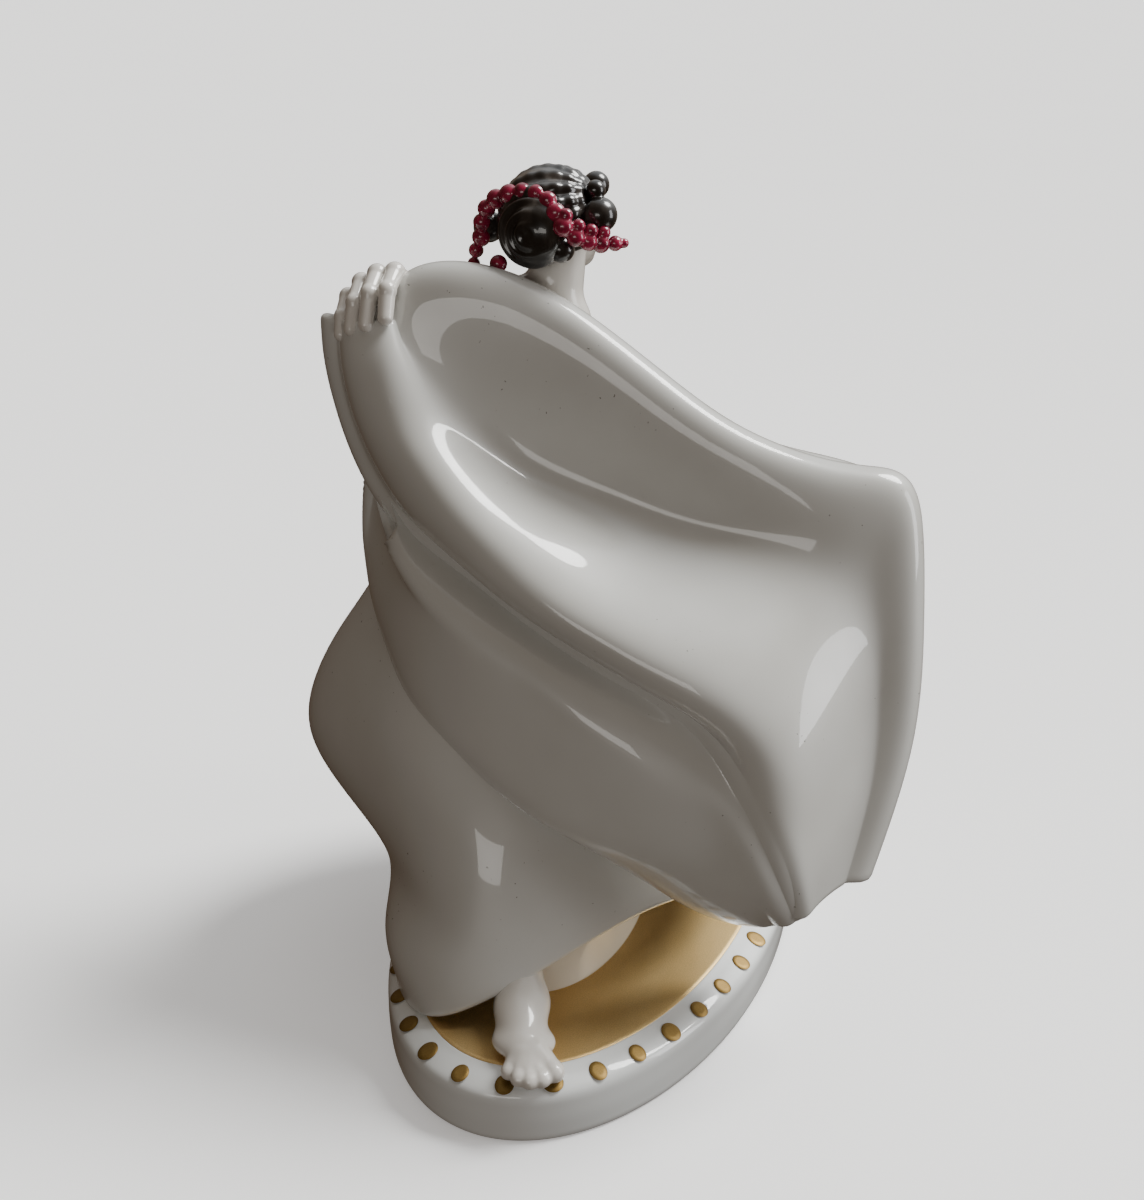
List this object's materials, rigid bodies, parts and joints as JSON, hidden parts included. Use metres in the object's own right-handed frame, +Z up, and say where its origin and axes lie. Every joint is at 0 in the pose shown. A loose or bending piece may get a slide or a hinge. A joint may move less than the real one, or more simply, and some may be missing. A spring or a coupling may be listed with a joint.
{
  "type": "porcelain figurine",
  "caption": "Glazed porcelain dancer with a wide swirling cape held open in both hands, dark hair with a bead garland, on an oval plinth with a gilt top and a dotted rim.",
  "frame": {"origin": "on the table, under the middle of the oval plinth", "axes": "+Z up; +Y along the plinth's long axis, the way the dancer faces; +X to her right, where the cape is held out"},
  "size_m": [0.1739, 0.184, 0.216],
  "materials": {
    "white_glaze": "clear glossy glaze on white porcelain",
    "plinth_glaze": "clear glossy glaze on white porcelain",
    "cream_glaze": "thin glaze on cream porcelain",
    "skin_glaze": "clear glossy glaze, warm white",
    "hair_glaze": "brown-black brushed overglaze, glossy",
    "crimson_glaze": "glossy crimson overglaze",
    "gilding": "burnished matte gilding"
  },
  "bodies": {
    "root": {"plinth": "plinth_glaze", "gold_field": "gilding", "gold_dots": "gilding", "underskirt": "cream_glaze", "skirt": "white_glaze", "bodice": "white_glaze", "shoulders": "skin_glaze", "head": "skin_glaze", "hair_cap": "hair_glaze", "hair_bun": "hair_glaze", "hair_curls": "hair_glaze", "garland_beads": "crimson_glaze", "garland_drops": "crimson_glaze", "left_arm": "skin_glaze", "right_arm": "skin_glaze", "left_hand": "skin_glaze", "right_hand": "skin_glaze", "cape": "white_glaze", "cape_return": "white_glaze", "right_foot": "skin_glaze", "left_foot": "skin_glaze"}
  },
  "joints": []
}
